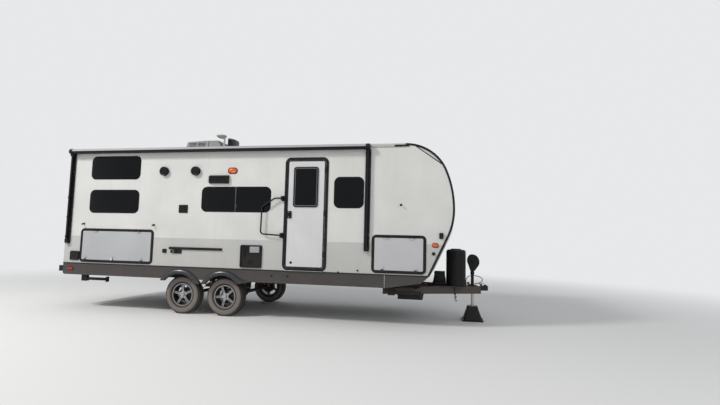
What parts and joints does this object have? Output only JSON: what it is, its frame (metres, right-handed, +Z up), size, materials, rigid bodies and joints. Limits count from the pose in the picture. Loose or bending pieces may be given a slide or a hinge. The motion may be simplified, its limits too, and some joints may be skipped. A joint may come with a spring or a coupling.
{
  "type": "travel caravan",
  "caption": "Travel caravan with a rounded nose, hinged entry and storage doors, turning wheels, a roller awning and a tongue jack.",
  "frame": {"origin": "on the ground, on the chassis centreline, at half of the overall length", "axes": "+X forward to the coupler, +Z up, the entry door side is -Y"},
  "size_m": [8.163, 2.6039, 3.45],
  "materials": {
    "body_white": "gloss",
    "skirt_grey": "satin",
    "frame_black": "satin",
    "tongue_brown": "satin",
    "trim_black": "satin",
    "awning_grey": "matte",
    "fender_grey": "satin",
    "glass_dark": "gloss",
    "tyre": "matte",
    "rim_alloy": "satin",
    "steel_dark": "satin",
    "zinc": "satin",
    "cover_black": "satin",
    "roof_white": "matte",
    "cooler_grey": "satin",
    "lamp_red": "gloss",
    "lamp_amber": "gloss",
    "floor_wood": "matte",
    "rubber_black": "matte"
  },
  "bodies": {
    "caravan": {"aerial": "roof_white", "air_conditioner": "cooler_grey", "amber_lamps": "lamp_amber", "awning_arms": "frame_black", "awning_roll": "awning_grey", "axles": "frame_black", "battery_box": "cover_black", "black_fittings": "trim_black", "bumper": "frame_black", "chassis_frame": "frame_black", "coupler": "frame_black", "crossmembers": "frame_black", "edge_trim": "trim_black", "fenders": "fender_grey", "floor": "floor_wood", "frame_brackets": "frame_black", "front_cap": "body_white", "gas_cover": "cover_black", "leaf_springs": "steel_dark", "off_fittings": "body_white", "opening_frames": "trim_black", "rear_wall": "body_white", "roof": "roof_white", "roof_vents": "trim_black", "safety_chains": "steel_dark", "skirts": "skirt_grey", "tail_lamps": "lamp_red", "tongue_frame": "tongue_brown", "tongue_jack": "frame_black", "tow_cord": "rubber_black", "tow_plug": "rubber_black", "wall_door_side": "body_white", "wall_off_side": "body_white", "windows": "glass_dark"},
    "entry": {"entry_door": "body_white", "entry_glass": "glass_dark", "entry_lock": "trim_black"},
    "rear_bay": {"rear_bay_door": "body_white"},
    "front_bay": {"front_bay_door": "body_white"},
    "off_bay": {"off_bay_door": "body_white"},
    "assist_handle": {"grab_handle": "frame_black"},
    "jack_stand": {"jack_leg": "zinc", "jack_foot": "cover_black"},
    "wheel_front_door": {"tyre_front_door": "tyre", "rim_front_door": "rim_alloy"},
    "stand_front_door": {"stand_front_door": "frame_black"},
    "wheel_front_off": {"tyre_front_off": "tyre", "rim_front_off": "rim_alloy"},
    "stand_front_off": {"stand_front_off": "frame_black"},
    "wheel_rear_door": {"tyre_rear_door": "tyre", "rim_rear_door": "rim_alloy"},
    "stand_rear_door": {"stand_rear_door": "frame_black"},
    "wheel_rear_off": {"tyre_rear_off": "tyre", "rim_rear_off": "rim_alloy"},
    "stand_rear_off": {"stand_rear_off": "frame_black"}
  },
  "joints": [
    {"name": "wheel_front_door_spin", "type": "hinge", "parent": "caravan", "child": "wheel_front_door", "pos_m": [-0.561, -1.017, 0.344], "axis": [0, 1, 0], "continuous": true},
    {"name": "wheel_front_off_spin", "type": "hinge", "parent": "caravan", "child": "wheel_front_off", "pos_m": [-0.561, 1.017, 0.344], "axis": [0, 1, 0], "continuous": true},
    {"name": "wheel_rear_door_spin", "type": "hinge", "parent": "caravan", "child": "wheel_rear_door", "pos_m": [-1.399, -1.017, 0.344], "axis": [0, 1, 0], "continuous": true},
    {"name": "wheel_rear_off_spin", "type": "hinge", "parent": "caravan", "child": "wheel_rear_off", "pos_m": [-1.399, 1.017, 0.344], "axis": [0, 1, 0], "continuous": true},
    {"name": "entry_hinge", "type": "hinge", "parent": "caravan", "child": "entry", "pos_m": [1.29, -1.24, 1.85], "axis": [0, 0, 1], "range_deg": [0, 150]},
    {"name": "rear_bay_hinge", "type": "hinge", "parent": "caravan", "child": "rear_bay", "pos_m": [-2.75, -1.24, 1.47], "axis": [-1, 0, 0], "range_deg": [0, 165]},
    {"name": "front_bay_hinge", "type": "hinge", "parent": "caravan", "child": "front_bay", "pos_m": [2.5625, -1.24, 1.465], "axis": [-1, 0, 0], "range_deg": [0, 165]},
    {"name": "off_bay_hinge", "type": "hinge", "parent": "caravan", "child": "off_bay", "pos_m": [2.5625, 1.24, 1.465], "axis": [1, 0, 0], "range_deg": [0, 165]},
    {"name": "handle_swing", "type": "hinge", "parent": "caravan", "child": "assist_handle", "pos_m": [0.52, -1.281, 1.78], "axis": [0, 0, 1], "range_deg": [0, 90]},
    {"name": "jack_slide", "type": "slide", "parent": "caravan", "child": "jack_stand", "axis": [0, 0, 1], "range_m": [0, 0.2]},
    {"name": "stand_front_door_swing", "type": "hinge", "parent": "caravan", "child": "stand_front_door", "pos_m": [2.4, -0.895, 0.535], "axis": [0, 1, 0], "range_deg": [0, 85]},
    {"name": "stand_front_off_swing", "type": "hinge", "parent": "caravan", "child": "stand_front_off", "pos_m": [2.4, 0.895, 0.535], "axis": [0, 1, 0], "range_deg": [0, 85]},
    {"name": "stand_rear_door_swing", "type": "hinge", "parent": "caravan", "child": "stand_rear_door", "pos_m": [-3.675, -0.895, 0.535], "axis": [0, 1, 0], "range_deg": [0, 85]},
    {"name": "stand_rear_off_swing", "type": "hinge", "parent": "caravan", "child": "stand_rear_off", "pos_m": [-3.675, 0.895, 0.535], "axis": [0, 1, 0], "range_deg": [0, 85]}
  ]
}
